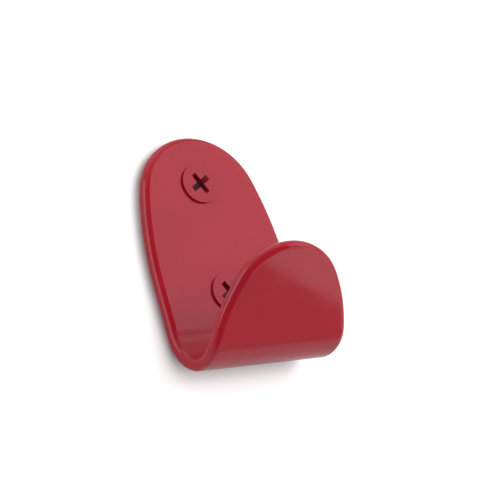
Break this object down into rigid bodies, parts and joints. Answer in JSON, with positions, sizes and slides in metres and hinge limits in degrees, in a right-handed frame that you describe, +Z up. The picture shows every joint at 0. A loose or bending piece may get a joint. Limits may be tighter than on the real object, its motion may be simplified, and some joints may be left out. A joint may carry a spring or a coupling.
{
  "type": "wall hook",
  "caption": "Gloss red metal wall hook: an oval strip with round edges folded into a J with an outward lip, fixed through its back plate by countersunk cross-recess screws.",
  "frame": {"origin": "on the back of the plate, midway between the two screws", "axes": "+Z up the wall, +Y into the wall, so the hook stands out towards -Y, and +X to the right as seen from the room"},
  "size_m": [0.029, 0.042, 0.0454],
  "materials": {
    "red_paint": "smooth gloss red paint",
    "screw_paint": "gloss red paint on the heads, bright zinc on the shanks"
  },
  "bodies": {
    "root": {"hook_body": "red_paint", "mounting_screws": "screw_paint"}
  },
  "joints": []
}
